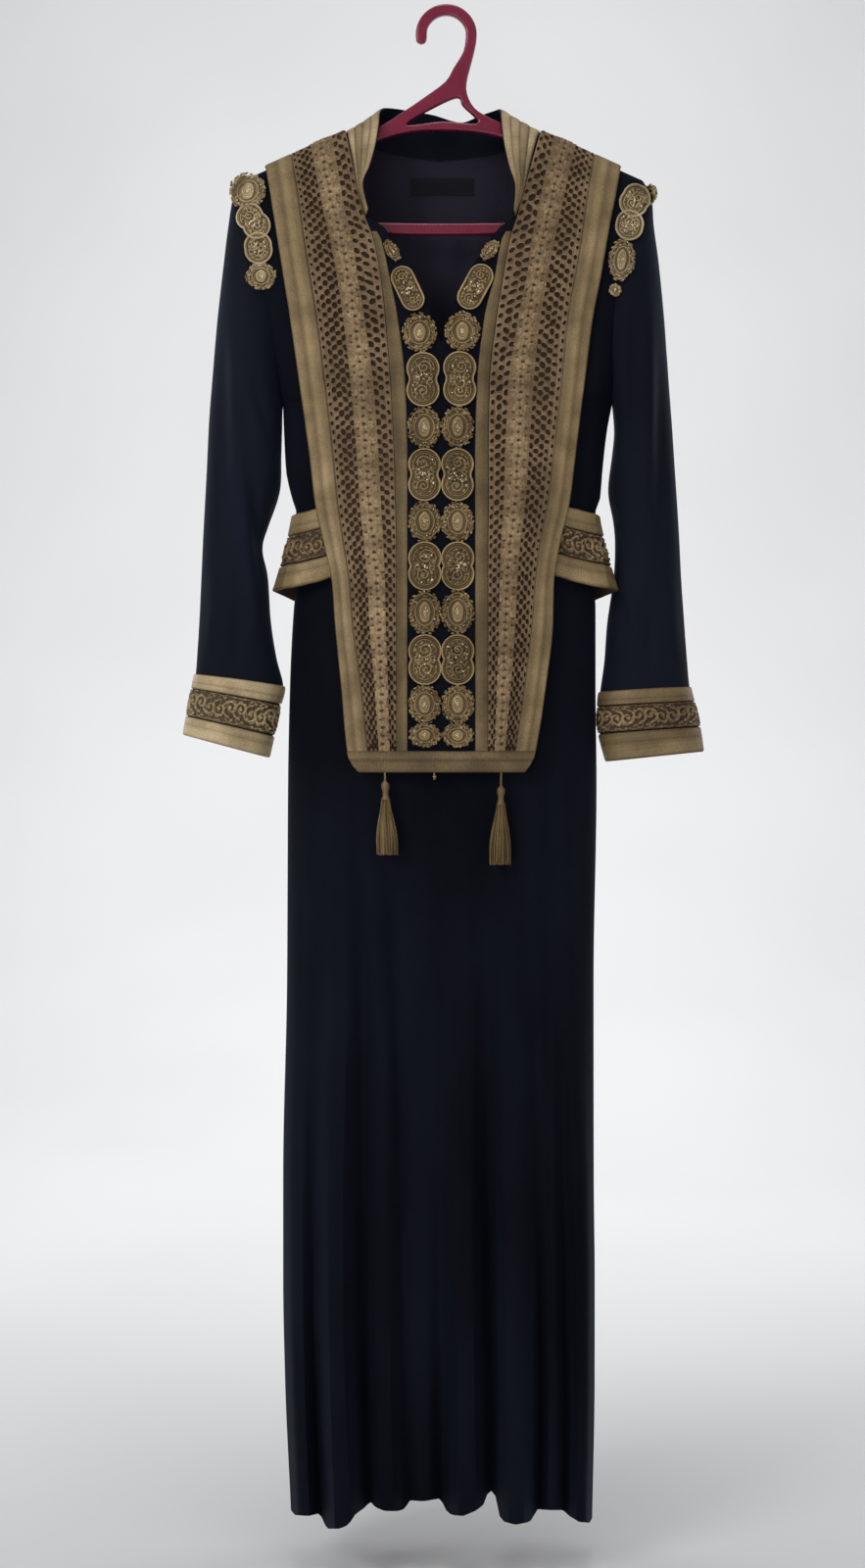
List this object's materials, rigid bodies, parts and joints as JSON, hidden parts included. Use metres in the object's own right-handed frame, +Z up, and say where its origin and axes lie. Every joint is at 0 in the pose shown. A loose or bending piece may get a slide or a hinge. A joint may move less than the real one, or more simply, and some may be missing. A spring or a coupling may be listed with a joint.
{
  "type": "kaftan on a clothes hanger",
  "caption": "Long velvet kaftan with a stand collar, V neckline, braided plastron with bead medallions, flared belt, trimmed cuffs and tassels, hung on a plastic clothes hanger.",
  "frame": {"origin": "inner top of the hanger's hook, where it rests on a rail or nail", "axes": "+Z up along the hanging garment, -Y out of its front, +X to the viewer's right when looking at the front"},
  "size_m": [0.5311, 0.1439, 1.5413],
  "materials": {
    "velvet": "dark navy velvet, soft nap with a faint sheen at grazing angles",
    "gold_braid": "ribbed gold metallic braid",
    "gold_lace": "gold net lace with flowers over dark velvet",
    "gold_beads": "sewn gold cord, sequins and small beads",
    "gold_thread": "twisted gold thread",
    "woven_label": "plain dark woven label",
    "pink_plastic": "moulded pink plastic, softly glossy"
  },
  "bodies": {
    "root": {"belt_back": "velvet", "belt_braid_lower": "gold_braid", "belt_braid_upper": "gold_braid", "belt_front": "velvet", "belt_lace": "gold_lace", "collar": "velvet", "collar_braid": "gold_braid", "cord_stub": "gold_thread", "cuff_braid_lower_left": "gold_braid", "cuff_braid_lower_right": "gold_braid", "cuff_braid_upper_left": "gold_braid", "cuff_braid_upper_right": "gold_braid", "cuff_lace_left": "gold_lace", "cuff_lace_right": "gold_lace", "dress_back": "velvet", "dress_front": "velvet", "epaulette_left": "gold_beads", "epaulette_right": "gold_beads", "hanger": "pink_plastic", "inner_braid_left": "gold_braid", "inner_braid_right": "gold_braid", "medallion_left_00": "gold_beads", "medallion_left_01": "gold_beads", "medallion_left_02": "gold_beads", "medallion_left_03": "gold_beads", "medallion_left_04": "gold_beads", "medallion_left_05": "gold_beads", "medallion_left_06": "gold_beads", "medallion_left_07": "gold_beads", "medallion_left_08": "gold_beads", "medallion_left_09": "gold_beads", "medallion_left_10": "gold_beads", "medallion_left_11": "gold_beads", "medallion_right_00": "gold_beads", "medallion_right_01": "gold_beads", "medallion_right_02": "gold_beads", "medallion_right_03": "gold_beads", "medallion_right_04": "gold_beads", "medallion_right_05": "gold_beads", "medallion_right_06": "gold_beads", "medallion_right_07": "gold_beads", "medallion_right_08": "gold_beads", "medallion_right_09": "gold_beads", "medallion_right_10": "gold_beads", "medallion_right_11": "gold_beads", "neck_label": "woven_label", "plastron": "velvet", "plastron_border": "gold_braid", "plastron_braid_left": "gold_braid", "plastron_braid_right": "gold_braid", "plastron_lace_left": "gold_lace", "plastron_lace_right": "gold_lace", "sleeve_left": "velvet", "sleeve_right": "velvet", "tassel_left": "gold_thread", "tassel_right": "gold_thread"}
  },
  "joints": []
}
